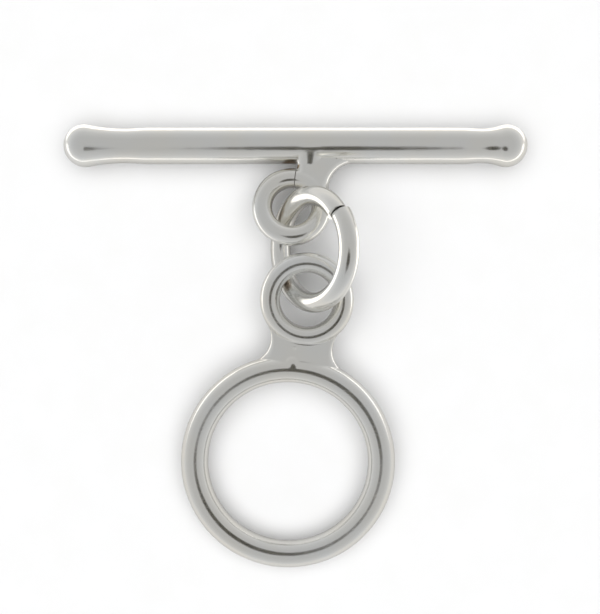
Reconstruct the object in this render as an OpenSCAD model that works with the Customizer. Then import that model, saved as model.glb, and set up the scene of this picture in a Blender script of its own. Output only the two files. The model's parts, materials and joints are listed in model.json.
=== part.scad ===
// Toggle clasp lying on a table: a bar with an eye, a ring with an eye, and the jump ring that links them.
// X runs along the bar, Y from the ring to the bar, Z up. The origin is on the table, under its middle.

/* [Bar] */
// Length of the bar over its end beads
bar_length = 26.2; // [18:0.2:36]
// Diameter of the bar
bar_d = 2.04; // [1.6:0.02:2.8]
// How far each end bead stands proud of the bar
bead_proud = 0.17; // [0.08:0.01:0.5]
// How far the bar is drawn in behind each bead
waist_depth = 0.055; // [0.02:0.005:0.15]
// Length of the left bead's long shoulder, from bead centre to waist
left_shoulder = 2.3; // [1.4:0.1:4]
// Length of the right bead's short shoulder, from bead centre to waist
right_shoulder = 1.4; // [1.2:0.1:4]
// Length over which each waist runs out into the bar
waist_run = 1.2; // [0.4:0.1:3]

/* [Eyes] */
// Diameter of the wire of both eyes
eye_wire_d = 1.12; // [0.8:0.02:1.4]
// Hole of the bar's eye
bar_eye_hole = 2.2; // [1.9:0.05:3.2]
// Space that solder fills between the bar and its eye
bar_eye_standoff = 0.33; // [0.1:0.01:0.8]
// How far the bar's eye sits to the left of the bar's middle
bar_eye_offset = 0.2; // [0:0.05:1]
// Where the bar's eye was cut, in degrees round it from the right
bar_eye_cut = 83; // [70:1:100]
// Gap at that cut, between the wire's free end and the solder
bar_eye_cut_gap = 0.08; // [0.04:0.01:0.2]
// Hole of the ring's eye
ring_eye_hole = 3.02; // [2.4:0.05:4]
// Space that solder fills between the ring and its eye
ring_eye_standoff = 0.56; // [0.1:0.01:0.9]

/* [Ring] */
// Outer diameter of the ring
ring_d = 12.1; // [9:0.1:18]
// Diameter of the ring's wire
ring_wire_d = 1.52; // [1.2:0.02:2]

/* [Jump ring] */
// Inner diameter of the jump ring
link_hole = 4.78; // [4:0.05:6.5]
// Diameter of the jump ring's wire
link_wire_d = 1.12; // [0.8:0.02:1.3]
// Where the jump ring was cut, in degrees round it from its highest point
link_cut = 35; // [20:1:70]
// Gap between its cut ends
link_cut_gap = 0.05; // [0.03:0.01:0.2]
// How far its cut ends pass each other sideways
link_cut_step = 0.24; // [0:0.02:0.4]

/* [Solder] */
// Radius of the hollow flares beside the bar's solder
bar_flare_r = 1.6; // [1.2:0.05:2.2]
// Radius of the hollow flares beside the ring's solder
ring_flare_r = 1.5; // [1:0.05:2.2]
// Thickness of the solder's rounded edges, as a share of the eye wire
solder_share = 0.88; // [0.7:0.01:0.95]

/* [How it lies] */
// How much higher the far side of the bar's eye lies than if it rested on a jump ring flat on the table
bar_eye_lift = 0.32; // [0.26:0.02:0.6]
// How far the jump ring's tilt is turned from the bar's direction, in degrees
link_turn = 3.5; // [-6:0.5:8]
// How far the ring's eye is turned from straight above the ring, in degrees
ring_turn = 6.8; // [-10:0.2:12]
// How far right of the middle of the bar's eye the jump ring passes, as a share of its play there
bar_eye_right_share = 0.3; // [0:0.05:0.5]
// How far it passes from that middle towards the bar, as a share of its play there
bar_eye_near_share = 0.15; // [0:0.05:0.4]
// How far left of the middle of the ring's eye it passes, as a share of its play there
ring_eye_left_share = 0.3; // [0:0.05:0.6]
// Gap left between wires that rest on each other
contact_gap = 0.05; // [0.02:0.01:0.15]

/* [Hidden] */
$fn = 96;
silver = [0.93, 0.93, 0.91];

bar_r = bar_d / 2;
bead_r = bar_r + bead_proud;
waist_r = bar_r - waist_depth;
eye_wire_r = eye_wire_d / 2;
bar_eye_r = bar_eye_hole / 2 + eye_wire_r;
bar_eye_reach = bar_r + bar_eye_standoff + bar_eye_r + eye_wire_r;
ring_eye_r = ring_eye_hole / 2 + eye_wire_r;
ring_wire_r = ring_wire_d / 2;
ring_r = ring_d / 2 - ring_wire_r;
ring_eye_reach = ring_d / 2 + ring_eye_standoff + ring_eye_r + eye_wire_r;
link_wire_r = link_wire_d / 2;
link_r = link_hole / 2 + link_wire_r;

// The solder's edges are round beads, its web is a little thinner, and both sink into the wires they join
solder_r = eye_wire_r * solder_share;
web_h = 2 * solder_r * 0.94;
sink = 0.04;
bead_sink = 0.01;

// The jump ring's two halves bend apart by this angle at the point opposite its cut
link_hinge = link_cut + 180;
link_bend = asin(link_cut_step / (4 * link_r));

// The bar lies on its beads, and its eye rises from it to lie over the jump ring
bar_z = bead_r;
bar_eye_rise = asin((link_wire_d + eye_wire_r + bar_eye_lift - bar_z) / (bar_eye_reach + bar_eye_r));

// Directions in the clasp's frame: away from the bar along its eye, and from the ring's centre to its eye
function eye_way() = [0, -cos(bar_eye_rise), sin(bar_eye_rise)];
function eye_up() = [0, sin(bar_eye_rise), cos(bar_eye_rise)];
function ring_way(tilt) = [sin(ring_turn) * cos(tilt), cos(ring_turn) * cos(tilt), sin(tilt)];
function ring_up(tilt) = [-sin(ring_turn) * sin(tilt), -cos(ring_turn) * sin(tilt), cos(tilt)];

// Directions of the leaning jump ring: up its slope, level along it, and square to it
function slope_way(lean) = [cos(link_turn) * cos(lean), sin(link_turn) * cos(lean), sin(lean)];
function level_way() = [-sin(link_turn), cos(link_turn), 0];

// A turn of a vector about an axis of length 1
function turned(v, axis, angle) =
    v * cos(angle) + cross(axis, v) * sin(angle) + axis * (axis * v) * (1 - cos(angle));

// Points along the jump ring's middle line, in its own plane and with its bend
function link_point(a) =
    let (
        hinge = link_r * [cos(link_hinge), sin(link_hinge), 0],
        along = [-sin(link_hinge), cos(link_hinge), 0],
        side = a >= link_cut && a <= link_hinge ? 1 : -1
    )
    hinge + turned(link_r * [cos(a), sin(a), 0] - hinge, along, side * link_bend);

function link_line(centre, lean) =
    let (e = slope_way(lean), l = level_way(), n = cross(e, l))
    [for (a = [0:4:356]) let (p = link_point(a)) centre + p[0] * e + p[1] * l + p[2] * n];

// The clear distance from a round eye's middle line to the nearest of some points
function nearest(points, centre, up, r) =
    min([for (p = points) let (d = p - centre, h = d * up) norm([h, norm(d - h * up) - r])]);

// The lowest value between two ends at which a growing measure is no longer negative
function first_clear(measure, low, high, steps = 14) =
    steps == 0 ? high
    : let (middle = (low + high) / 2)
    measure(middle) >= 0 ? first_clear(measure, low, middle, steps - 1)
    : first_clear(measure, middle, high, steps - 1);

// Heights of the jump ring, which lies on its lowest side, and of the bar's eye
function link_z(lean) = link_wire_r + link_r * sin(lean);
function bar_eye_centre() = [-bar_eye_offset, 0, bar_z] + bar_eye_reach * eye_way();

// Where round the jump ring it is at a given height: on its bar side, and on its ring side
function at_height(z, lean) = acos(max(-1, min(1, (z - link_z(lean)) / (link_r * sin(lean)))));

// The ring lies on its far edge, and its eye is lifted on the jump ring
function ring_eye_z(tilt) = ring_wire_r + (ring_r + ring_eye_reach) * sin(tilt);
function level_tilt(lean) = asin((link_z(lean) - ring_wire_r) / (ring_r + ring_eye_reach));

// The eyes are kept from meeting: each is pushed along the jump ring by its part of what they lack
function eye_push(lean, tilt) =
    let (
        low_angle = at_height(bar_eye_centre()[2], lean),
        high_angle = 360 - at_height(ring_eye_z(tilt), lean),
        chord = 2 * link_r * sin((high_angle - low_angle) / 2),
        wanted = bar_eye_r + ring_eye_r + 2 * eye_wire_r + contact_gap
    )
    max(0, wanted - chord) / 2;

// Centre of the jump ring, so that it passes near the middle of the bar's eye, and of the ring's eye
function link_centre(lean, tilt) =
    let (
        play = bar_eye_hole / 2 - link_wire_r - contact_gap,
        off_middle = play * (bar_eye_right_share * [1, 0, 0] - bar_eye_near_share * eye_way()),
        through = bar_eye_centre() + off_middle + eye_push(lean, tilt) * eye_way(),
        a = at_height(through[2], lean),
        p = link_r * (cos(a) * slope_way(lean) + sin(a) * level_way())
    )
    [through[0] - p[0], through[1] - p[1], link_z(lean)];

function ring_eye_centre(lean, tilt) =
    let (
        play = ring_eye_hole / 2 - link_wire_r - contact_gap,
        off_middle = play * ring_eye_left_share * [cos(ring_turn), -sin(ring_turn), 0],
        push = eye_push(lean, tilt),
        a = 360 - at_height(ring_eye_z(tilt) + push * sin(tilt), lean),
        p = link_centre(lean, tilt) + link_r * (cos(a) * slope_way(lean) + sin(a) * level_way())
    )
    p + off_middle - push * ring_way(tilt);

// Free play of the jump ring in each eye
function bar_eye_play(lean, tilt) =
    nearest(link_line(link_centre(lean, tilt), lean), bar_eye_centre(), eye_up(), bar_eye_r)
    - eye_wire_r - link_wire_r - contact_gap;
function ring_eye_play(lean, tilt) =
    nearest(link_line(link_centre(lean, tilt), lean), ring_eye_centre(lean, tilt), ring_up(tilt), ring_eye_r)
    - eye_wire_r - link_wire_r - contact_gap;

// The jump ring leans over until it meets the eyes' wires, and the ring's eye comes down until it rests on it
least_lean = 35;
most_lean = 88;
link_lean = first_clear(
    function(lean) min(bar_eye_play(lean, level_tilt(lean)), ring_eye_play(lean, level_tilt(lean))),
    least_lean, most_lean);
ring_tilt = first_clear(
    function(tilt) min(bar_eye_play(link_lean, tilt), ring_eye_play(link_lean, tilt)),
    0, level_tilt(link_lean));

link_at = link_centre(link_lean, ring_tilt);
ring_at = ring_eye_centre(link_lean, ring_tilt) - ring_eye_reach * ring_way(ring_tilt);

// The middle of the clasp's length, from the bar's far side to the ring's far edge
near_y = ring_at[1] - ring_wire_r - ring_r * sqrt(1 - pow(cos(ring_turn) * sin(ring_tilt), 2));
middle_y = (bead_r + near_y) / 2;

// A round bar of wire bent to part of a circle
module bent_wire(r, wire_r, from, to) {
    rotate([0, 0, from])
        rotate_extrude(angle = to - from)
            translate([r, 0])
                circle(wire_r);
}

// Half outline of one end of the bar: run-out, waist, hollow shoulder and bead
module bar_end_outline(shoulder) {
    bead_y = bar_length / 2 - bead_r;
    waist_y = bead_y - shoulder;
    // The hollow would just touch a circle that is a little smaller than the bead, so it runs into the bead
    inner_r = bead_r - bead_sink;
    hollow_r = (shoulder * shoulder / (inner_r - waist_r) - inner_r - waist_r) / 2;
    meet = inner_r / (inner_r + hollow_r);
    polygon([[0, waist_y - waist_run], [bar_r, waist_y - waist_run], [waist_r, waist_y], [0, waist_y]]);
    difference() {
        translate([0, waist_y])
            square([(waist_r + hollow_r) * meet, shoulder * (1 - meet)]);
        translate([waist_r + hollow_r, waist_y])
            circle(hollow_r);
    }
    intersection() {
        translate([0, bead_y])
            circle(bead_r);
        translate([0, bead_y - bead_r])
            square([bead_r, 2 * bead_r]);
    }
}

module bar_rod() {
    left_y = bar_length / 2 - bead_r - left_shoulder - waist_run;
    right_y = bar_length / 2 - bead_r - right_shoulder - waist_run;
    rotate([0, 90, 0])
        rotate_extrude() {
            translate([0, -left_y])
                square([bar_r, left_y + right_y]);
            bar_end_outline(right_shoulder);
            mirror([0, 1])
                bar_end_outline(left_shoulder);
        }
}

// The bar's eye in its own plane, centred on its hole, with the bar at +Y
module bar_eye() {
    cut_end = bar_eye_cut - atan(bar_eye_cut_gap / bar_eye_r);
    outer_r = bar_eye_r + eye_wire_r;
    flare_y = bar_eye_reach - bar_r - bar_flare_r + sink;
    flare_x = sqrt(pow(outer_r + bar_flare_r - sink, 2) - flare_y * flare_y);
    flare_turn = atan(flare_y / flare_x);
    edge_r = bar_flare_r + solder_r;
    bent_wire(bar_eye_r, eye_wire_r, bar_eye_cut, 360 + cut_end);
    translate([0, 0, -web_h / 2])
        linear_extrude(web_h)
            difference() {
                polygon([
                    bar_eye_r * [cos(cut_end), sin(cut_end)],
                    bar_eye_r * [cos(flare_turn), sin(flare_turn)],
                    [flare_x, flare_y],
                    [flare_x, bar_eye_reach],
                    [bar_eye_reach / tan(cut_end), bar_eye_reach]
                ]);
                translate([flare_x, flare_y])
                    circle(edge_r);
            }
    translate([flare_x, flare_y])
        bent_wire(edge_r, solder_r, 90, 180 + flare_turn);
}

// The ring's solder neck in the ring's plane, with the eye at +Y
module ring_neck() {
    ring_side = ring_d / 2 + ring_flare_r - sink;
    eye_side = ring_eye_r + eye_wire_r + ring_flare_r - sink;
    flare_y = (ring_side * ring_side - eye_side * eye_side + ring_eye_reach * ring_eye_reach)
        / (2 * ring_eye_reach);
    flare_x = sqrt(ring_side * ring_side - flare_y * flare_y);
    ring_turn_in = atan(flare_y / flare_x);
    eye_turn_in = atan((ring_eye_reach - flare_y) / flare_x);
    edge_r = ring_flare_r + solder_r;
    ring_point = ring_r * [cos(ring_turn_in), sin(ring_turn_in)];
    eye_point = [0, ring_eye_reach] + ring_eye_r * [cos(eye_turn_in), -sin(eye_turn_in)];
    translate([0, 0, -web_h / 2])
        linear_extrude(web_h)
            difference() {
                polygon([
                    ring_point, [flare_x, flare_y], eye_point,
                    [-eye_point[0], eye_point[1]], [-flare_x, flare_y], [-ring_point[0], ring_point[1]]
                ]);
                for (side = [-1, 1])
                    translate([side * flare_x, flare_y])
                        circle(edge_r);
                circle(ring_r);
                translate([0, ring_eye_reach])
                    circle(ring_eye_r);
            }
    for (side = [0, 1])
        mirror([side, 0, 0])
            translate([flare_x, flare_y])
                bent_wire(edge_r, solder_r, 180 - eye_turn_in, 180 + ring_turn_in);
}

module toggle_bar() {
    color(silver)
        translate([0, -middle_y, bar_z]) {
            bar_rod();
            translate([-bar_eye_offset, 0, 0])
                rotate([-bar_eye_rise, 0, 0])
                    translate([0, -bar_eye_reach, 0])
                        bar_eye();
        }
}

module toggle_ring() {
    color(silver)
        translate([ring_at[0], ring_at[1] - middle_y, ring_at[2]])
            rotate([0, 0, -ring_turn])
                rotate([ring_tilt, 0, 0]) {
                    bent_wire(ring_r, ring_wire_r, 0, 360);
                    translate([0, ring_eye_reach, 0])
                        bent_wire(ring_eye_r, eye_wire_r, 0, 360);
                    ring_neck();
                }
}

// The right half of the jump ring, from the point opposite its cut, which is at the origin
module link_half() {
    end_gap = atan(link_cut_gap / 2 / link_r);
    translate([0, link_r, 0])
        bent_wire(link_r, link_wire_r, -90, 90 - end_gap);
}

module jump_ring() {
    color(silver)
        translate([link_at[0], link_at[1] - middle_y, link_at[2]])
            rotate([0, 0, link_turn])
                rotate([0, -link_lean, 0])
                    rotate([0, 0, link_cut - 90])
                        translate([0, -link_r, 0])
                            for (side = [0, 1])
                                mirror([side, 0, 0])
                                    rotate([side == 0 ? -link_bend : link_bend, 0, 0])
                                        link_half();
}

toggle_bar();
toggle_ring();
jump_ring();
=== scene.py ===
"""A polished silver toggle clasp: a beaded bar, a ring with its eye, and the jump ring that links them.

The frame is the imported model. Shapes are made in millimetres and put in place in metres at the end.
"""
import json
import math

import bmesh
import bpy
import numpy as np
from mathutils import Matrix, Vector


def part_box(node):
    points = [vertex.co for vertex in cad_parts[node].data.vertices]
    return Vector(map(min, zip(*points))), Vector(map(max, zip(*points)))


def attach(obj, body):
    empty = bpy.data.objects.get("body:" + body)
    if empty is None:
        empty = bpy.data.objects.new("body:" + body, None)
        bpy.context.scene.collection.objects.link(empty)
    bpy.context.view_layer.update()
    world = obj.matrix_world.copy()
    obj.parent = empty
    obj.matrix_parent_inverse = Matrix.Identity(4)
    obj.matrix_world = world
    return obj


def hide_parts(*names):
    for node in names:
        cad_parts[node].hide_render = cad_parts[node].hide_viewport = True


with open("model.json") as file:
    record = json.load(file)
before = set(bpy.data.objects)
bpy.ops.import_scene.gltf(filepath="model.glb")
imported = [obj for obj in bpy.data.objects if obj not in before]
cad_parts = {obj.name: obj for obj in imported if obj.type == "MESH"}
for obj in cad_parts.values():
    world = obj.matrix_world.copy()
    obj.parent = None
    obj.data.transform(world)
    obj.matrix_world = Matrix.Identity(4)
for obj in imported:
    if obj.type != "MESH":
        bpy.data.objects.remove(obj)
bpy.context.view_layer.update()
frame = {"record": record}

MM = 0.001

# The bar and its end beads, in millimetres
BAR_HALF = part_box("toggle_bar")[1].x / MM
BAR_R = 1.02
BEAD_R = 1.19
WAIST_R = BAR_R - 0.055
WAIST_RUN = 1.2
LEFT_SHOULDER = 2.3
RIGHT_SHOULDER = 1.4
BAR_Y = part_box("toggle_bar")[1].y / MM - BEAD_R
BAR_Z = BEAD_R

# The wire eyes: the bar's eye rises towards the ring, and the ring's eye is lifted on the jump ring
EYE_WIRE_R = 0.56
BAR_EYE_R = 1.66
BAR_EYE_REACH = 3.57
BAR_EYE_CUT = math.radians(83)
BAR_EYE_GAP = 0.05
RING_EYE_R = 2.07
RING_EYE_REACH = 9.24

# The ring
RING_R = 5.29
RING_WIRE_R = 0.76
RING_TURN = math.radians(6.8)
RING_TILT = math.radians(4.404)

# The jump ring leans on its lowest side, and its two halves are bent apart at the point opposite its cut
LINK_R = 2.95
LINK_WIRE_R = 0.56
LINK_CENTRE = Vector((1.0148, 5.3845, 2.8288))
LINK_LEAN = math.radians(50.272)
LINK_TURN = math.radians(3.5)
LINK_CUT = math.radians(35)
LINK_CUT_GAP = 0.05
LINK_BEND = math.radians(1.165)

# Solder: the rounded edge of each web, and the hollow flares beside it
SOLDER_R = 0.49
BAR_FLARE_R = 1.6
RING_FLARE_R = 1.5
SINK = 0.04

# How far the fillets run where solder and wire meet: from almost sharp to round
SHARP_FILLET = 0.01
TIGHT_FILLET = 0.05
RIDGE_FILLET = 0.08
WIRE_FILLET = 0.25

# The finest edge of the meshes that the solder is shaped on, and how much too large they start
FINE = 0.042
SPARE = 0.05

# Vertices nearer than this are one
SAME_PLACE = 1e-5


def mount(name):
    """A mount of the record: its centre in millimetres and its axis."""
    for row in frame["record"]["mounts"]:
        if row["name"] == name:
            return np.array(row["pos_m"]) / MM, np.array(row["axis"])


bar_eye_at, bar_eye_up = mount("bar_eye")
ring_eye_at, ring_up = mount("ring_eye")

# Directions in the plane of the bar's eye: along the bar, towards the bar, and up
bar_eye_up = bar_eye_up / np.linalg.norm(bar_eye_up)
bar_eye_side = np.array([1.0, 0.0, 0.0])
bar_eye_way = np.cross(bar_eye_up, bar_eye_side)

# Directions in the ring's plane: to its right, towards its eye, and up
ring_way = np.array([
    math.sin(RING_TURN) * math.cos(RING_TILT),
    math.cos(RING_TURN) * math.cos(RING_TILT),
    math.sin(RING_TILT),
])
ring_side = np.array([math.cos(RING_TURN), -math.sin(RING_TURN), 0.0])
ring_up = np.cross(ring_side, ring_way)
ring_at = ring_eye_at - RING_EYE_REACH * ring_way


def melt(one, other, run):
    """The union of two distances, with a smooth fillet of about that run between them."""
    share = np.maximum(run - np.abs(one - other), 0) / run
    return np.minimum(one, other) - share ** 3 * run / 6


def in_plane(p, centre, side, way, up):
    """Coordinates of points in the plane of an eye or a ring."""
    d = p - centre
    return d @ side, d @ way, d @ up


def ring_wire(u, v, w, ring_r, wire_r):
    """Distance to a round wire bent to a ring, from coordinates in its plane."""
    return np.hypot(np.hypot(u, v) - ring_r, w) - wire_r


def bar_profile(x):
    """Radius of the bar at a place along it, with a waist and a hollow shoulder before each bead."""
    radius = np.full_like(x, BAR_R)
    bead_at = BAR_HALF - BEAD_R
    for sign, shoulder in ((-1, LEFT_SHOULDER), (1, RIGHT_SHOULDER)):
        inward = bead_at - sign * x
        hollow_r = (shoulder ** 2 / (BEAD_R - WAIST_R) - BEAD_R - WAIST_R) / 2
        meet = shoulder * BEAD_R / (BEAD_R + hollow_r)
        run = np.clip((inward - shoulder) / WAIST_RUN, 0, 1)
        ease = run * run * (3 - 2 * run)
        waist = WAIST_R + (BAR_R - WAIST_R) * ease
        off = np.clip(shoulder - inward, 0, shoulder)
        hollow = WAIST_R + hollow_r - np.sqrt(hollow_r ** 2 - off ** 2)
        bead = np.sqrt(np.maximum(BEAD_R ** 2 - inward ** 2, 1e-9))
        here = sign * x > 0
        radius = np.where(here & (inward < shoulder + WAIST_RUN), waist, radius)
        radius = np.where(here & (inward < shoulder), hollow, radius)
        radius = np.where(here & (inward < meet), bead, radius)
    return radius


def bar_rod(p):
    """Distance to the turned bar with its two beads."""
    return np.hypot(p[:, 1] - BAR_Y, p[:, 2] - BAR_Z) - bar_profile(p[:, 0])


def ridge_of_solder(p):
    """Distance to the low ridge of solder, which is widest where it leaves the bar."""
    along = RIDGE_FOOT - RIDGE_TOP
    down = along * (0, 1, 1)
    t = np.clip((p - RIDGE_TOP) @ down / (down @ down), 0, 1)
    off = p - RIDGE_TOP - t[:, None] * along
    wide = RIDGE_FOOT_WIDE + (RIDGE_TOP_WIDE - RIDGE_FOOT_WIDE) * (1 - t) ** 3
    off[:, 0] *= RIDGE_HIGH / wide
    return np.linalg.norm(off, axis=1) - RIDGE_HIGH


def flare_of_bar_eye():
    """Where the hollow flare between the bar and its eye has its centre, in the eye's plane."""
    outer = BAR_EYE_R + EYE_WIRE_R + BAR_FLARE_R - SINK
    y = BAR_EYE_REACH - BAR_R - BAR_FLARE_R + SINK
    return math.sqrt(outer ** 2 - y ** 2), y


def flare_of_ring_eye():
    """Where the hollow flares between the ring and its eye have their centres, in the ring's plane."""
    at_ring = RING_R + RING_WIRE_R + RING_FLARE_R - SINK
    at_eye = RING_EYE_R + EYE_WIRE_R + RING_FLARE_R - SINK
    y = (at_ring ** 2 - at_eye ** 2 + RING_EYE_REACH ** 2) / (2 * RING_EYE_REACH)
    return math.sqrt(at_ring ** 2 - y ** 2), y


def solder_plate(outline, w, half):
    """A web of solder with round edges, from the distance to its outline in the plane."""
    return np.hypot(np.maximum(outline + half, 0), w) - half


# A low ridge of solder leaves the bar's crest smoothly and runs down to the eye's web
RIDGE_TOP_WIDE = 1.6
RIDGE_FOOT_WIDE = 0.75
RIDGE_HIGH = 0.45
RIDGE_TOP = np.array([0.86, BAR_Y - 0.185, BAR_Z + 0.539])
RIDGE_FOOT = np.array([0.80, BAR_Y - 0.95, BAR_Z + 0.28])


def bar_surface(p):
    """Distance to the whole bar piece: rod, eye wire with its free end, and the solder."""
    u, v, w = in_plane(p, bar_eye_at, bar_eye_side, bar_eye_way, bar_eye_up)
    wire = ring_wire(u, v, w, BAR_EYE_R, EYE_WIRE_R)
    past_cut = u * math.sin(BAR_EYE_CUT) - v * math.cos(BAR_EYE_CUT)
    top = v > 0
    free_wire = np.where(top, np.maximum(wire, past_cut), wire)
    held_wire = np.where(top, np.maximum(wire, -past_cut), wire)
    fx, fy = flare_of_bar_eye()
    outline = np.maximum.reduce([
        -past_cut,
        BAR_FLARE_R - np.hypot(u - fx, v - fy),
        BAR_EYE_R - np.hypot(u, v),
        v - BAR_EYE_REACH,
        u - fx,
        -v,
    ])
    plate = solder_plate(outline, w, SOLDER_R)
    ridge = np.maximum(ridge_of_solder(p), -w)
    joint = melt(bar_rod(p), ridge, RIDGE_FILLET)
    joint = melt(joint, plate, SHARP_FILLET)
    joint = melt(joint, held_wire, WIRE_FILLET)
    return np.minimum(joint, free_wire)


# The neck's top leaves the ring's wire smoothly and falls towards the eye. Towards its flares it gets
# thinner, and its fillets shorter.
NECK_HALF = 1.9
NECK_FALL = math.radians(15)
NECK_THIN = 0.7
NECK_FILLET = 0.1

# A pinhole in the neck's solder, placed in the frame, and a small round lump where the neck meets the ring,
# placed in the ring's plane
PINHOLE = np.array([-0.025, -0.10, 2.17])
PINHOLE_R = 0.1
LUMP = (-0.36, 5.52, -0.04)
LUMP_R = 0.8


def ring_surface(p):
    """Distance to the whole ring piece: ring, eye and the solder neck between them."""
    u, v, w = in_plane(p, ring_at, ring_side, ring_way, ring_up)
    body = ring_wire(u, v, w, RING_R, RING_WIRE_R)
    eye = ring_wire(u, v - RING_EYE_REACH, w, RING_EYE_R, EYE_WIRE_R)
    fx, fy = flare_of_ring_eye()
    left = RING_EYE_REACH - fy
    outline = np.maximum.reduce([
        RING_FLARE_R - np.hypot(np.abs(u) - fx, v - fy),
        RING_R - np.hypot(u, v),
        RING_EYE_R - np.hypot(u, v - RING_EYE_REACH),
        (np.abs(u) * fy - v * fx) / math.hypot(fx, fy),
        (np.abs(u) * left - (RING_EYE_REACH - v) * fx) / math.hypot(fx, left),
    ])
    across = np.clip(np.abs(u) / NECK_HALF, 0, 1)
    leaves = np.hypot(u, v) - RING_R - RING_WIRE_R * math.sin(NECK_FALL)
    half = RING_WIRE_R * math.cos(NECK_FALL) - math.tan(NECK_FALL) * np.clip(leaves, 0, 2)
    half = half * np.sqrt(1 - NECK_THIN * across ** 2)
    neck = solder_plate(outline, w, half)
    fillet = TIGHT_FILLET + NECK_FILLET * (1 - across * across * (3 - 2 * across))
    joined = melt(melt(body, neck, fillet), eye, fillet)
    lump = np.linalg.norm(np.stack([u, v, w], 1) - LUMP, axis=1) - LUMP_R
    joined = melt(joined, np.maximum(lump, -w), TIGHT_FILLET)
    pinhole = np.linalg.norm(p - PINHOLE, axis=1) - PINHOLE_R
    return -melt(-joined, pinhole, TIGHT_FILLET)


def slope(surface, p, step=1e-3):
    """Which way the distance grows, at each point."""
    parts = []
    for axis in np.eye(3):
        parts.append(surface(p + step * axis) - surface(p - step * axis))
    return np.stack(parts, 1) / (2 * step)


def points_of(mesh):
    """The mesh's vertices as an array, a row for each."""
    p = np.empty(len(mesh.vertices) * 3)
    mesh.vertices.foreach_get("co", p)
    return p.reshape(-1, 3)


def settle(mesh, surface, rounds=6, reach=0.06):
    """Moves each vertex onto the surface, a limited way at a time."""
    p = points_of(mesh)
    for _ in range(rounds):
        g = slope(surface, p)
        step = surface(p)[:, None] * g / np.maximum((g * g).sum(1), 1e-6)[:, None]
        length = np.linalg.norm(step, axis=1)[:, None]
        p = p - step * np.minimum(1, reach / np.maximum(length, 1e-9))
    mesh.vertices.foreach_set("co", p.ravel())
    mesh.update()


def relax(mesh, times):
    """Evens out the spacing of the vertices."""
    bm = bmesh.new()
    bm.from_mesh(mesh)
    for _ in range(times):
        bmesh.ops.smooth_vert(
            bm, verts=bm.verts, factor=0.5, use_axis_x=True, use_axis_y=True, use_axis_z=True)
    bm.to_mesh(mesh)
    bm.free()


def remesh(mesh, size):
    """Joins overlapping shapes into one closed skin of even quads."""
    carrier = bpy.data.objects.new("carrier", mesh)
    bpy.context.scene.collection.objects.link(carrier)
    change = carrier.modifiers.new("Remesh", "REMESH")
    change.mode = "VOXEL"
    change.voxel_size = size
    graph = bpy.context.evaluated_depsgraph_get()
    skin = bpy.data.meshes.new_from_object(carrier.evaluated_get(graph))
    bpy.data.objects.remove(carrier)
    return skin


def axes(side, way, up, at):
    """A matrix that takes plane coordinates to the frame, in millimetres."""
    turn = Matrix((Vector(side), Vector(way), Vector(up))).transposed().to_4x4()
    return Matrix.Translation(Vector(at)) @ turn


def spun_wire(bm, ring_r, wire_r, start, sweep, place, round_steps, steps, wire_turn=0.0):
    """A round wire bent to part of a ring about Z, with its ends closed, then put in place."""
    made = bmesh.ops.create_circle(
        bm, segments=round_steps, radius=wire_r,
        matrix=Matrix.Rotation(start, 4, "Z") @ Matrix.Translation((ring_r, 0, 0))
        @ Matrix.Rotation(math.pi / 2, 4, "X") @ Matrix.Rotation(wire_turn, 4, "Z"))
    whole = abs(sweep - 2 * math.pi) < 1e-9
    first = list({e for v in made["verts"] for e in v.link_edges})
    before = set(bm.verts) - set(made["verts"])
    spun = bmesh.ops.spin(
        bm, geom=first, cent=(0, 0, 0), axis=(0, 0, 1), angle=sweep, steps=steps, use_merge=whole)
    if not whole:
        last = [g for g in spun["geom_last"] if isinstance(g, bmesh.types.BMEdge)]
        bmesh.ops.contextual_create(bm, geom=first)
        bmesh.ops.contextual_create(bm, geom=last)
    verts = [v for v in bm.verts if v not in before]
    bmesh.ops.transform(bm, matrix=place, verts=verts)
    return verts


def block(bm, size, middle, place):
    """A plain block of solder for the remesh to start from."""
    made = bmesh.ops.create_cube(bm, size=1, matrix=Matrix.Diagonal((*size, 1)))
    bmesh.ops.transform(bm, matrix=place @ Matrix.Translation(middle), verts=made["verts"])


def slab(bm, outline, half, place):
    """A flat slab with this outline, for the remesh to start from."""
    verts = [bm.verts.new((x, y, -half)) for x, y in outline]
    face = bm.faces.new(verts)
    grown = bmesh.ops.extrude_face_region(bm, geom=[face])
    lifted = [g for g in grown["geom"] if isinstance(g, bmesh.types.BMVert)]
    bmesh.ops.translate(bm, verts=lifted, vec=(0, 0, 2 * half))
    bmesh.ops.transform(bm, matrix=place, verts=verts + lifted)


def arc(centre, radius, start, end, steps=24):
    """Points along part of a circle, as angles from its right."""
    return [(centre[0] + radius * math.cos(a), centre[1] + radius * math.sin(a))
            for a in np.linspace(start, end, steps)]


def closed_mesh(bm, name):
    """A mesh of the shape, with its doubles merged and its faces turned outwards."""
    bmesh.ops.remove_doubles(bm, verts=bm.verts, dist=SAME_PLACE)
    bmesh.ops.recalc_face_normals(bm, faces=bm.faces)
    mesh = bpy.data.meshes.new(name)
    bm.to_mesh(mesh)
    bm.free()
    return mesh


# An open edge belongs to a cut when it is this near to the cut's plane and to its middle
NEAR_PLANE = 0.2
NEAR_MIDDLE = 3.0


def join_open_ends(bm, middle, way):
    """Bridges the two open loops that lie at a cut plane."""
    point, way = Vector(middle), Vector(way)
    near = [e for e in bm.edges if e.is_boundary
            and abs((e.verts[0].co - point).dot(way)) < NEAR_PLANE
            and (e.verts[0].co - point).length < NEAR_MIDDLE]
    bmesh.ops.bridge_loops(bm, edges=near)


def mesh_array(items, name, width=1, kind=float):
    """One property of all of a mesh's vertices, corners or faces."""
    values = np.empty(len(items) * width, kind)
    items.foreach_get(name, values)
    return values.reshape(-1, width) if width > 1 else values


def directions(surface, p):
    """The outward direction of the surface at each point."""
    n = slope(surface, p)
    return n / np.maximum(np.linalg.norm(n, axis=1), 1e-9)[:, None]


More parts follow.
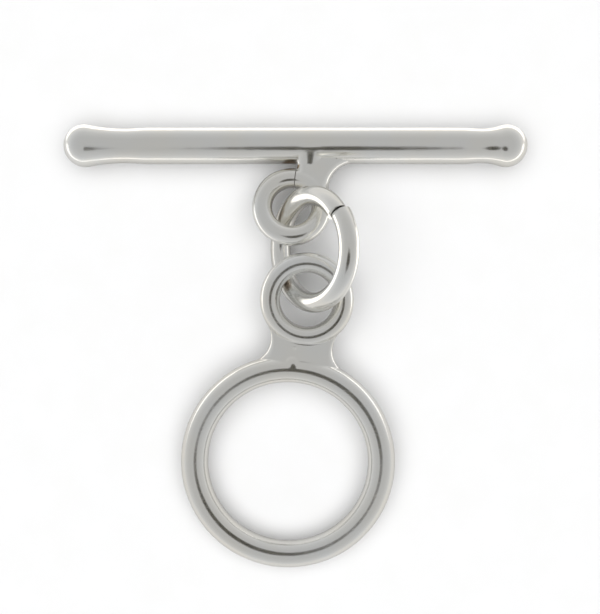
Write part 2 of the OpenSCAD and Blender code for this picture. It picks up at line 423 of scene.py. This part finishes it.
# Cosines: a face whose corners' directions spread past the first lies across a sharp corner, and one
# that is turned from the surface past the second is a sawn face
ACROSS_CORNER = 0.95
SAWN_FACE = 0.6


def surface_normals(mesh, surface):
    """A normal for each corner from the exact surface, with sawn faces flat and sharp corners kept sharp."""
    smooth = directions(surface, points_of(mesh))[mesh_array(mesh.loops, "vertex_index", kind=int)]
    sides = mesh_array(mesh.polygons, "loop_total", kind=int)
    face = np.repeat(np.arange(len(sides)), sides)
    flat = mesh_array(mesh.polygons, "normal", 3)[face]
    mean = np.zeros((len(sides), 3))
    np.add.at(mean, face, smooth)
    mean /= np.maximum(np.linalg.norm(mean, axis=1), 1e-9)[:, None]
    spread = np.ones(len(sides))
    np.minimum.at(spread, face, (mean[face] * smooth).sum(1))
    # A face that lies across a corner takes the side that its middle is on
    centre = directions(surface, mesh_array(mesh.polygons, "center", 3))
    bent = (spread < ACROSS_CORNER)[face]
    smooth[bent] = centre[face][bent]
    sawn = (flat * smooth).sum(1) < SAWN_FACE
    smooth[sawn] = flat[sawn]
    return smooth


# Where no exact surface gives the shading, edges that turn more than this stay sharp
SHARP_TURN = math.radians(40)


def finish_piece(mesh, name, surface, material):
    """Shades a mesh and makes it an object, from millimetres to metres."""
    bm = bmesh.new()
    bm.from_mesh(mesh)
    bmesh.ops.recalc_face_normals(bm, faces=bm.faces)
    bm.to_mesh(mesh)
    bm.free()
    mesh.shade_smooth()
    if surface is None:
        mesh.set_sharp_from_angle(angle=SHARP_TURN)
    else:
        mesh.normals_split_custom_set([tuple(v) for v in surface_normals(mesh, surface)])
    mesh.transform(Matrix.Diagonal((MM, MM, MM, 1)))
    piece = bpy.data.objects.new(name, mesh)
    bpy.context.scene.collection.objects.link(piece)
    mesh.materials.clear()
    mesh.materials.append(material)
    return piece


def cut_off(bm, point, way):
    """Cuts a mesh at a plane and drops what lies beyond it."""
    bmesh.ops.bisect_plane(
        bm, geom=list(bm.verts) + list(bm.edges) + list(bm.faces), dist=SAME_PLACE,
        plane_co=Vector(point), plane_no=Vector(way), clear_outer=True, clear_inner=False)


# The bar's plain arms are turned; the solder and the eye are shaped between these two places
ARM_LEFT = -3.2
ARM_RIGHT = 3.6
ARM_GAP = 0.05
ARM_OVERLAP = 0.3
ARM_RINGS = 80
BEAD_RINGS = 30
ROUND_STEPS = 128


def bar_arm(bm, start, sign):
    """One arm of the bar, turned like a lathe, with its waist and bead."""
    bead_at = BAR_HALF - BEAD_R
    x = np.concatenate([
        np.linspace(abs(start) + ARM_GAP, bead_at, ARM_RINGS),
        bead_at + BEAD_R * np.sin(np.linspace(0, math.pi / 2, BEAD_RINGS))[1:-1],
    ])
    r = bar_profile(sign * x)
    verts = [bm.verts.new((sign * a, b, 0)) for a, b in zip(x, r)]
    verts.append(bm.verts.new((sign * BAR_HALF, 0, 0)))
    edges = [bm.edges.new(pair) for pair in zip(verts, verts[1:])]
    before = set(bm.verts) - set(verts)
    bmesh.ops.spin(
        bm, geom=edges, cent=(0, 0, 0), axis=(1, 0, 0), angle=2 * math.pi, steps=ROUND_STEPS, use_merge=True)
    made = [v for v in bm.verts if v not in before]
    bmesh.ops.remove_doubles(bm, verts=made, dist=SAME_PLACE)
    made = [v for v in bm.verts if v not in before]
    bmesh.ops.translate(bm, verts=made, vec=(0, BAR_Y, BAR_Z))


# The blade that saws the slot, along the wire's width, across the slot and up, and its middle
BLADE = (EYE_WIRE_R * 2 + 0.5, BAR_EYE_GAP, 3.0)
BLADE_AT = (BAR_EYE_R + 0.1, 0, 0)


def saw_slot(mesh, place):
    """Cuts the thin slot that leaves the eye's wire with a free end."""
    bm = bmesh.new()
    turn = Matrix.Rotation(BAR_EYE_CUT, 4, "Z")
    block(bm, BLADE, BLADE_AT, place @ turn)
    blade = bpy.data.objects.new("blade", closed_mesh(bm, "blade"))
    carrier = bpy.data.objects.new("carrier", mesh)
    for part in (blade, carrier):
        bpy.context.scene.collection.objects.link(part)
    change = carrier.modifiers.new("Slot", "BOOLEAN")
    change.operation = "DIFFERENCE"
    change.solver = "EXACT"
    change.object = blade
    graph = bpy.context.evaluated_depsgraph_get()
    cut = bpy.data.meshes.new_from_object(carrier.evaluated_get(graph))
    bpy.data.objects.remove(carrier)
    bpy.data.objects.remove(blade)
    return cut


# The rough block that the ridge of solder is shaped from: its size and its middle, in the eye's plane.
# The rough web reaches a little past the eye's cut.
RIDGE_BLOCK = (1.0, 1.2, 0.7)
RIDGE_BLOCK_AT = (1.02, BAR_EYE_REACH - 0.75, 0.4)
PAST_CUT = 0.02


def make_bar(material):
    """The bar: rough shapes joined and drawn onto its exact surface, then the turned arms, then the slot."""
    place = axes(bar_eye_side, bar_eye_way, bar_eye_up, bar_eye_at)
    bm = bmesh.new()
    rod = bmesh.ops.create_cone(
        bm, cap_ends=True, segments=96, radius1=BAR_R, radius2=BAR_R,
        depth=ARM_RIGHT - ARM_LEFT + 2 * ARM_OVERLAP, matrix=Matrix.Rotation(math.pi / 2, 4, "Y"))
    bmesh.ops.translate(bm, verts=rod["verts"], vec=((ARM_LEFT + ARM_RIGHT) / 2, BAR_Y, BAR_Z))
    spun_wire(bm, BAR_EYE_R, EYE_WIRE_R, 0, 2 * math.pi, place, round_steps=32, steps=128)
    fx, fy = flare_of_bar_eye()
    to_eye = math.atan2(fy, fx)
    outline = arc((0, 0), BAR_EYE_R, to_eye, BAR_EYE_CUT)
    outline.append((BAR_EYE_REACH / math.tan(BAR_EYE_CUT) - PAST_CUT, BAR_EYE_REACH))
    outline.append((fx, BAR_EYE_REACH))
    outline += arc((fx, fy), BAR_FLARE_R - SPARE, math.pi / 2, math.pi + to_eye)
    slab(bm, outline, SOLDER_R + SPARE, place)
    block(bm, RIDGE_BLOCK, RIDGE_BLOCK_AT, place)
    skin = remesh(closed_mesh(bm, "bar_rough"), FINE)
    settle(skin, bar_surface, rounds=12)
    skin = remesh(skin, FINE)
    relax(skin, 2)
    settle(skin, bar_surface, rounds=6)
    bm = bmesh.new()
    bm.from_mesh(skin)
    cut_off(bm, (ARM_RIGHT, BAR_Y, BAR_Z), (1, 0, 0))
    cut_off(bm, (ARM_LEFT, BAR_Y, BAR_Z), (-1, 0, 0))
    for start, sign in ((ARM_LEFT, -1), (ARM_RIGHT, 1)):
        bar_arm(bm, start, sign)
        join_open_ends(bm, (start, BAR_Y, BAR_Z), (1, 0, 0))
    mesh = saw_slot(closed_mesh(bm, "silver_bar"), place)
    return finish_piece(mesh, "silver_bar", bar_surface, material)


# The neck and the eye are shaped up to this far on each side of the neck's middle, and the rest of the
# ring is spun
NECK_SPAN = math.radians(42)
NECK_GAP = math.radians(0.6)
NECK_OVERLAP = 0.06
NECK_ROUGH_HALF = 0.58


def make_ring(material):
    """The ring: its neck and eye drawn onto their exact surface from rough shapes, then the spun wire."""
    place = axes(ring_side, ring_way, ring_up, ring_at)
    at_eye = place @ Matrix.Translation((0, RING_EYE_REACH, 0))
    bm = bmesh.new()
    up = math.pi / 2
    spun_wire(
        bm, RING_R, RING_WIRE_R, up - NECK_SPAN - NECK_OVERLAP, 2 * (NECK_SPAN + NECK_OVERLAP), place,
        round_steps=48, steps=96)
    spun_wire(bm, RING_EYE_R, EYE_WIRE_R, 0, 2 * math.pi, at_eye, round_steps=40, steps=144)
    fx, fy = flare_of_ring_eye()
    to_ring = math.atan2(fy, fx)
    to_eye = math.atan2(RING_EYE_REACH - fy, fx)
    outline = arc((0, 0), RING_R, math.pi - to_ring, to_ring)
    outline += arc((fx, fy), RING_FLARE_R - SPARE, math.pi + to_ring, math.pi - to_eye)
    outline += arc((0, RING_EYE_REACH), RING_EYE_R, -to_eye, to_eye - math.pi)
    outline += arc((-fx, fy), RING_FLARE_R - SPARE, to_eye, -to_ring)
    slab(bm, outline, NECK_ROUGH_HALF, place)
    skin = remesh(closed_mesh(bm, "ring_rough"), FINE)
    settle(skin, ring_surface, rounds=14)
    skin = remesh(skin, FINE)
    relax(skin, 2)
    settle(skin, ring_surface, rounds=6)
    bm = bmesh.new()
    bm.from_mesh(skin)
    ends = []
    for sign in (-1, 1):
        a = up + sign * NECK_SPAN
        along = place.to_3x3() @ Vector((-sign * math.sin(a), sign * math.cos(a), 0))
        at = place @ Vector((RING_R * math.cos(a), RING_R * math.sin(a), 0))
        cut_off(bm, at, along)
        ends.append((at, along))
    spun_wire(
        bm, RING_R, RING_WIRE_R, up + NECK_SPAN + NECK_GAP, 2 * (math.pi - NECK_SPAN - NECK_GAP), place,
        round_steps=96, steps=240)
    # The wire's two end caps are the only faces with so many corners; it is joined to the neck instead
    caps = [f for f in bm.faces if len(f.verts) > 8]
    bmesh.ops.delete(bm, geom=caps, context="FACES_ONLY")
    for at, along in ends:
        join_open_ends(bm, at, along)
    mesh = closed_mesh(bm, "silver_ring")
    return finish_piece(mesh, "silver_ring", ring_surface, material)


def make_link(material):
    """The jump ring: two halves that share the wire's circle opposite the cut, each bent a little aside."""
    level = Matrix.Rotation(LINK_TURN, 4, "Z") @ Matrix.Rotation(-LINK_LEAN, 4, "Y")
    place = Matrix.Translation(LINK_CENTRE) @ level
    to_hinge = Matrix.Rotation(LINK_CUT - math.pi / 2, 4, "Z") @ Matrix.Translation((0, -LINK_R, 0))
    hinge = place @ to_hinge
    end_gap = math.atan(LINK_CUT_GAP / 2 / LINK_R)
    bm = bmesh.new()
    for side in (1, -1):
        # Both halves start on the same circle: the profile is turned back by the bend it then gets
        mirror = Matrix.Diagonal((side, 1, 1, 1))
        bend = Matrix.Rotation(-side * LINK_BEND, 4, "X")
        lift = Matrix.Translation((0, LINK_R, 0))
        spun_wire(
            bm, LINK_R, LINK_WIRE_R, -math.pi / 2, math.pi - end_gap, hinge @ mirror @ bend @ lift,
            round_steps=64, steps=110, wire_turn=-side * LINK_BEND)
    # The two halves' faces at their shared circle lie inside the wire
    bmesh.ops.remove_doubles(bm, verts=bm.verts, dist=SAME_PLACE)
    inside = [f for f in bm.faces if all(len(e.link_faces) > 2 for e in f.edges)]
    bmesh.ops.delete(bm, geom=inside, context="FACES_ONLY")
    return finish_piece(closed_mesh(bm, "silver_jump_ring"), "silver_jump_ring", None, material)


def linear(code):
    """An sRGB hex colour as linear red, green, blue and alpha."""
    parts = [int(code[i:i + 2], 16) / 255 for i in (1, 3, 5)]
    return tuple(c / 12.92 if c <= 0.04045 else ((c + 0.055) / 1.055) ** 2.4 for c in parts) + (1.0,)


def node(tree, kind, links=None, values=None, **settings):
    """Adds a node with its settings, links and values, the last two by the input's name or number."""
    made = tree.nodes.new(kind)
    for key, value in settings.items():
        setattr(made, key, value)
    for key, value in (values or {}).items():
        made.inputs[key].default_value = value
    for key, source in (links or {}).items():
        tree.links.new(source, made.inputs[key])
    return made


# The silver's patterns: how large each is and how deep its relief, in millimetres
SWELL, SWELL_DEEP = 1.5, 0.014
DING, DING_DEEP = 0.35, 0.0022
SCRATCH_LONG, SCRATCH_WIDE, SCRATCH_DEEP = 2.4, 0.09, 0.0006
HAZE = 3.0
# How far the corners' brown tarnish and painted shade reach
TARNISH_AND_SHADE_REACH = 0.32

# Roughness where it is brightest and where it is hazy, and what a scratch adds
BRIGHT_ROUGH, HAZY_ROUGH, SCRATCH_ROUGH = 0.12, 0.2, 0.06

# Painted brown shade where the parts shade each other: the middle of each patch, how far it reaches each way,
# and how brown it is
PAINTED_SHADE_PATCHES = (
    # In the gap between the bar and the end of its eye's wire
    ((-0.32, 10.34, 1.35), (0.5, 0.2, 0.5), 0.85),
    # Inside the bar's eye
    ((-1.15, 7.7, 1.7), (0.25, 0.8, 0.5), 0.5),
    # Inside the ring's eye
    ((-0.45, 3.45, 1.6), (0.3, 0.5, 0.5), 0.45),
)


def silver():
    """Cast sterling silver, tumbled bright: near white, mirror-like over a soft swell, with handling marks.

    The tumbling doesn't reach the tight corners of the solder, which keep a little brown tarnish with painted
    shade in it. Brown painted shade also lies in the gaps and inside the eyes.
    The scratches are faint, and drawn about four times as wide as real ones, so that they show at all.
    """
    material = bpy.data.materials.new("tumbled_bright_sterling_silver")
    material.use_nodes = True
    tree = material.node_tree
    shader = tree.nodes["Principled BSDF"]
    at = node(tree, "ShaderNodeTexCoord").outputs["Object"]
    swell = node(tree, "ShaderNodeTexNoise", {"Vector": at}, {"Scale": 1 / (SWELL * MM), "Detail": 1.0})
    dings = node(tree, "ShaderNodeTexNoise", {"Vector": at}, {"Scale": 1 / (DING * MM), "Detail": 2.0})
    haze = node(tree, "ShaderNodeTexNoise", {"Vector": at}, {"Scale": 1 / (HAZE * MM), "Detail": 2.0})
    drawn = node(tree, "ShaderNodeMapping", {"Vector": at}, {
        "Rotation": (0.3, 0.2, 0.6),
        "Scale": (1 / (SCRATCH_LONG * MM), 1 / (SCRATCH_WIDE * MM), 1 / (SCRATCH_WIDE * MM))})
    scratch = node(
        tree, "ShaderNodeTexNoise", {"Vector": drawn.outputs["Vector"]}, {"Scale": 1.0, "Detail": 0.0})
    lines = node(tree, "ShaderNodeMapRange", {"Value": scratch.outputs["Fac"]}, {
        "From Min": 0.66, "From Max": 0.74})

    # Colour: a faint warm and cool haze, brown tarnish with painted shade in the corners, and brown painted
    # shade in the gaps and inside the eyes
    clean = node(
        tree, "ShaderNodeMix", {"Factor": haze.outputs["Fac"]},
        {6: linear("#f7f3e9"), 7: linear("#f2f5f7")}, data_type="RGBA")
    # The solder's tight corners turn brown: tarnish that the tumbling leaves, with painted shade where the
    # corners are dim
    corner_tarnish_and_shade = node(
        tree, "ShaderNodeAmbientOcclusion", None, {"Distance": TARNISH_AND_SHADE_REACH * MM}, samples=8, only_local=True)
    deep_tarnish_and_shade = node(tree, "ShaderNodeMapRange", {"Value": corner_tarnish_and_shade.outputs["AO"]}, {
        "From Min": 0.5, "From Max": 0.15, "To Max": 0.55})
    brown_tarnish_and_shade = deep_tarnish_and_shade.outputs["Result"]
    # Painted brown shade, in patches, in the gap at the bar's eye and inside both eyes
    for middle, reach, depth in PAINTED_SHADE_PATCHES:
        around = node(tree, "ShaderNodeMapping", {"Vector": at}, {
            "Location": tuple(-c / r for c, r in zip(middle, reach)),
            "Scale": tuple(1 / (r * MM) for r in reach)})
        away = node(tree, "ShaderNodeVectorMath", {0: around.outputs["Vector"]}, operation="LENGTH")
        shade_patch = node(tree, "ShaderNodeMapRange", {"Value": away.outputs["Value"]}, {
            "From Min": 1.1, "From Max": 0.5, "To Max": depth}, interpolation_type="SMOOTHSTEP")
        both = node(tree, "ShaderNodeMath", {0: brown_tarnish_and_shade, 1: shade_patch.outputs["Result"]}, operation="MAXIMUM")
        brown_tarnish_and_shade = both.outputs["Value"]
    colour = node(
        tree, "ShaderNodeMix", {"Factor": brown_tarnish_and_shade, 6: clean.outputs[2]}, {7: linear("#8a6a3c")},
        data_type="RGBA")
    tree.links.new(colour.outputs[2], shader.inputs["Base Color"])

    # Gloss: duller where the haze and the scratches are
    gloss = node(tree, "ShaderNodeMapRange", {"Value": haze.outputs["Fac"]}, {
        "From Min": 0.3, "From Max": 0.7, "To Min": BRIGHT_ROUGH, "To Max": HAZY_ROUGH})
    worn = node(
        tree, "ShaderNodeMath", {0: lines.outputs["Result"], 2: gloss.outputs["Result"]},
        {1: SCRATCH_ROUGH}, operation="MULTIPLY_ADD")
    tree.links.new(worn.outputs["Value"], shader.inputs["Roughness"])

    # Relief: the swell is deepest, then the dings, then the scratches
    low = node(tree, "ShaderNodeBump", {"Height": swell.outputs["Fac"]}, {"Distance": SWELL_DEEP * MM})
    mid = node(
        tree, "ShaderNodeBump", {"Height": dings.outputs["Fac"], "Normal": low.outputs["Normal"]},
        {"Distance": DING_DEEP * MM})
    top = node(
        tree, "ShaderNodeBump", {"Height": lines.outputs["Result"], "Normal": mid.outputs["Normal"]},
        {"Distance": SCRATCH_DEEP * MM}, invert=True)
    tree.links.new(top.outputs["Normal"], shader.inputs["Normal"])
    shader.inputs["Metallic"].default_value = 1.0
    return material


# The sheet's mottle, and its grain and how deep that is, in millimetres
MOTTLE = 2.5
GRAIN, GRAIN_DEEP = 0.12, 0.002

# How bright the sheet's painted glow looks in the metal: dim where a reflection runs less than the first
# distance, and bright where it runs more than the second. Along Y, the painted glow turns bright over these
# two stretches.
DIM_SHEET, BRIGHT_SHEET = 0.72, 1.5
NEAR_SHEET, FAR_SHEET = 5.4, 9.0
BEHIND_BAR = (BAR_Y + 1.2, BAR_Y + 2.2)
ABOVE_RING = (-1.5, 0.5)
# How far the painted shade around the clasp reaches on the sheet's glow, in millimetres
SHADE = 3.0


def table_top():
    """White acrylic sheet with a fine satin face: an even white with a very slight mottle and no shine. In
    the metal it shows as a painted glow.
    """
    material = bpy.data.materials.new("satin_white_acrylic_sheet")
    material.use_nodes = True
    tree = material.node_tree
    shader = tree.nodes["Principled BSDF"]
    at = node(tree, "ShaderNodeTexCoord").outputs["Object"]
    mottle = node(tree, "ShaderNodeTexNoise", {"Vector": at}, {"Scale": 1 / (MOTTLE * MM), "Detail": 3.0})
    grain = node(tree, "ShaderNodeTexNoise", {"Vector": at}, {"Scale": 1 / (GRAIN * MM), "Detail": 1.0})
    colour = node(
        tree, "ShaderNodeMix", {"Factor": mottle.outputs["Fac"]},
        {6: linear("#f3f3f4"), 7: linear("#efefee")}, data_type="RGBA")
    satin = node(tree, "ShaderNodeBump", {"Height": grain.outputs["Fac"]}, {"Distance": GRAIN_DEEP * MM})
    tree.links.new(colour.outputs[2], shader.inputs["Base Color"])
    tree.links.new(satin.outputs["Normal"], shader.inputs["Normal"])
    shader.inputs["Roughness"].default_value = 0.6
    shader.inputs["Specular IOR Level"].default_value = 0.3

    # In the metal the sheet is a painted glow, not lit: painted shade dims it close by, where the clasp and
    # the lens would shade it, and painted light makes it bright further off between the bar and the ring.
    # Behind the bar, at the window's side, it is painted bright close by.
    path = node(tree, "ShaderNodeLightPath")
    far = node(tree, "ShaderNodeMapRange", {"Value": path.outputs["Ray Length"]}, {
        "From Min": NEAR_SHEET * MM, "From Max": FAR_SHEET * MM}, interpolation_type="SMOOTHSTEP")
    apart = node(tree, "ShaderNodeSeparateXYZ", {"Vector": at})
    behind = node(tree, "ShaderNodeMapRange", {"Value": apart.outputs["Y"]}, {
        "From Min": BEHIND_BAR[0] * MM, "From Max": BEHIND_BAR[1] * MM})
    between = node(tree, "ShaderNodeMapRange", {"Value": apart.outputs["Y"]}, {
        "From Min": ABOVE_RING[0] * MM, "From Max": ABOVE_RING[1] * MM})
    difference = node(
        tree, "ShaderNodeMath", {0: far.outputs["Result"], 1: behind.outputs["Result"]}, operation="SUBTRACT")
    either = node(tree, "ShaderNodeMath", {0: difference.outputs["Value"]}, operation="ABSOLUTE")
    bright = node(
        tree, "ShaderNodeMath", {0: either.outputs["Value"], 1: between.outputs["Result"]},
        operation="MULTIPLY")
    level = node(tree, "ShaderNodeMapRange", {"Value": bright.outputs["Value"]}, {
        "To Min": DIM_SHEET, "To Max": BRIGHT_SHEET})
    # Painted shade: the glow is darker near the clasp
    shade = node(tree, "ShaderNodeAmbientOcclusion", None, {"Distance": SHADE * MM}, samples=8)
    painted_shaded_glow = node(
        tree, "ShaderNodeMath", {0: level.outputs["Result"], 1: shade.outputs["AO"]}, operation="MULTIPLY")
    painted_glow = node(
        tree, "ShaderNodeEmission", {"Strength": painted_shaded_glow.outputs["Value"]}, {"Color": linear("#fffdfa")})
    # The painted glow shows in the metal only; it is no lamp
    sheet = node(tree, "ShaderNodeMixShader", {
        "Fac": path.outputs["Is Glossy Ray"], 1: shader.outputs["BSDF"], 2: painted_glow.outputs["Emission"]})
    tree.links.new(sheet.outputs["Shader"], tree.nodes["Material Output"].inputs["Surface"])
    return material


polished = silver()
bar = make_bar(polished)
ring = make_ring(polished)
link = make_link(polished)
for piece, replaced in ((bar, "toggle_bar"), (ring, "toggle_ring"), (link, "jump_ring")):
    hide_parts(replaced)
    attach(piece, "root")

# The floor reaches this far each way, in metres
FLOOR_REACH = 1.5
bm = bmesh.new()
bmesh.ops.create_grid(bm, x_segments=1, y_segments=1, size=FLOOR_REACH)
sheet = bpy.data.meshes.new("table")
bm.to_mesh(sheet)
bm.free()
floor = bpy.data.objects.new("table", sheet)
floor.data.materials.append(table_top())
bpy.context.scene.collection.objects.link(floor)

# The camera looks straight down. The frame is 600 by 614 pixels, and the shift is in parts of its longer
# side. NADIR is the pixel straight below the lens, ORIGIN_PX the frame's origin, and PX_MM a pixel's size
# on the table.
FRAME_W, FRAME_H = 600, 614
NADIR = (337.0, 343.0)
ORIGIN_PX = (296.4, 346.5)
PX_MM = 0.0576
CAMERA_H = 66.2
SENSOR = 36.0
eye_x = (NADIR[0] - ORIGIN_PX[0]) * PX_MM
eye_y = -(NADIR[1] - ORIGIN_PX[1]) * PX_MM
camera_data = bpy.data.cameras.new("camera")
camera_data.sensor_fit = "VERTICAL"
camera_data.sensor_height = SENSOR
camera_data.lens = SENSOR * CAMERA_H / (FRAME_H * PX_MM)
camera_data.shift_x = (FRAME_W / 2 - NADIR[0]) / FRAME_H
camera_data.shift_y = (NADIR[1] - FRAME_H / 2) / FRAME_H
camera_data.clip_start = 0.001
camera = bpy.data.objects.new("camera", camera_data)
camera.location = (eye_x * MM, eye_y * MM, CAMERA_H * MM)
bpy.context.scene.collection.objects.link(camera)
bpy.context.scene.camera = camera

# The dark front of the lens, between the camera and the clasp, shows in the metal only. It fades out from
# the middle of its radius.
LENS_AT = (2.0, -8.5, 40.0)
LENS_RX, LENS_RY = 14.5, 14.0


def lens_front():
    """Black anodised barrel around coated glass, grey with the room's own light on it.

    It is out of focus at its rim.
    """
    material = bpy.data.materials.new("black_anodised_lens_front")
    material.use_nodes = True
    tree = material.node_tree
    shader = tree.nodes["Principled BSDF"]
    shader.inputs["Base Color"].default_value = linear("#454238")
    shader.inputs["Roughness"].default_value = 0.8
    at = node(tree, "ShaderNodeTexCoord")
    centred = node(tree, "ShaderNodeMapping", {"Vector": at.outputs["Object"]}, {
        "Location": (-LENS_AT[0] / LENS_RX, -LENS_AT[1] / LENS_RY, 0),
        "Scale": (1 / (LENS_RX * MM), 1 / (LENS_RY * MM), 0)})
    out = node(tree, "ShaderNodeVectorMath", {0: centred.outputs["Vector"]}, operation="LENGTH")
    rim = node(tree, "ShaderNodeMapRange", {"Value": out.outputs["Value"]}, {
        "From Min": 0.5, "From Max": 1.0, "To Min": 0.06}, interpolation_type="SMOOTHSTEP")
    clear = node(tree, "ShaderNodeBsdfTransparent")
    both = node(tree, "ShaderNodeMixShader", {
        "Fac": rim.outputs["Result"], 1: shader.outputs["BSDF"], 2: clear.outputs["BSDF"]})
    tree.links.new(both.outputs["Shader"], tree.nodes["Material Output"].inputs["Surface"])
    return material


bm = bmesh.new()
bmesh.ops.create_circle(bm, cap_ends=True, segments=96, radius=MM)
bmesh.ops.scale(bm, verts=bm.verts, vec=(LENS_RX, LENS_RY, 1))
bmesh.ops.translate(bm, verts=bm.verts, vec=Vector(LENS_AT) * MM)
disc = bpy.data.meshes.new("lens_front")
bm.to_mesh(disc)
bm.free()
disc.materials.append(lens_front())
lens = bpy.data.objects.new("lens_front", disc)
bpy.context.scene.collection.objects.link(lens)
lens.visible_camera = False
lens.visible_diffuse = False
lens.visible_shadow = False

# Soft light: the metal shows a pale grey room, and the table is lit from well above on all sides
world = bpy.data.worlds.new("soft_room")
bpy.context.scene.world = world
world.use_nodes = True
tree = world.node_tree
back = tree.nodes["Background"]
where = node(tree, "ShaderNodeTexCoord")
apart = node(tree, "ShaderNodeSeparateXYZ", {"Vector": where.outputs["Generated"]})


def light_by_height(*stops):
    """A colour that goes from stop to stop with the height of the direction, from 0 level to 1 overhead."""
    ramp = node(tree, "ShaderNodeValToRGB", {"Fac": apart.outputs["Z"]})
    steps = ramp.color_ramp.elements
    while len(steps) < len(stops):
        steps.new(0.5)
    for step, (height, strength) in zip(steps, stops):
        step.position = height
        step.color = (strength, strength, strength, 1)
    return ramp.outputs["Color"]


room = light_by_height((0.0, 0.68), (0.35, 0.56), (0.8, 0.48))
fill = light_by_height((0.68, 0.3), (0.75, 2.8), (0.92, 2.8), (0.97, 1.5))

# More of the light comes from the ring's side, so that the bar shades the sheet behind it
FILL_NEAR, FILL_BEHIND = 1.25, 0.41
side = node(tree, "ShaderNodeMapRange", {"Value": apart.outputs["Y"]}, {
    "From Min": -1.0, "To Min": FILL_NEAR, "To Max": FILL_BEHIND})
aimed = node(tree, "ShaderNodeVectorMath", {0: fill, 3: side.outputs["Result"]}, operation="SCALE")
path = node(tree, "ShaderNodeLightPath")
light = node(
    tree, "ShaderNodeMix", {"Factor": path.outputs["Is Diffuse Ray"], 6: room, 7: aimed.outputs["Vector"]},
    data_type="RGBA")
tree.links.new(light.outputs[2], back.inputs["Color"])

bpy.context.scene.view_settings.view_transform = "Standard"
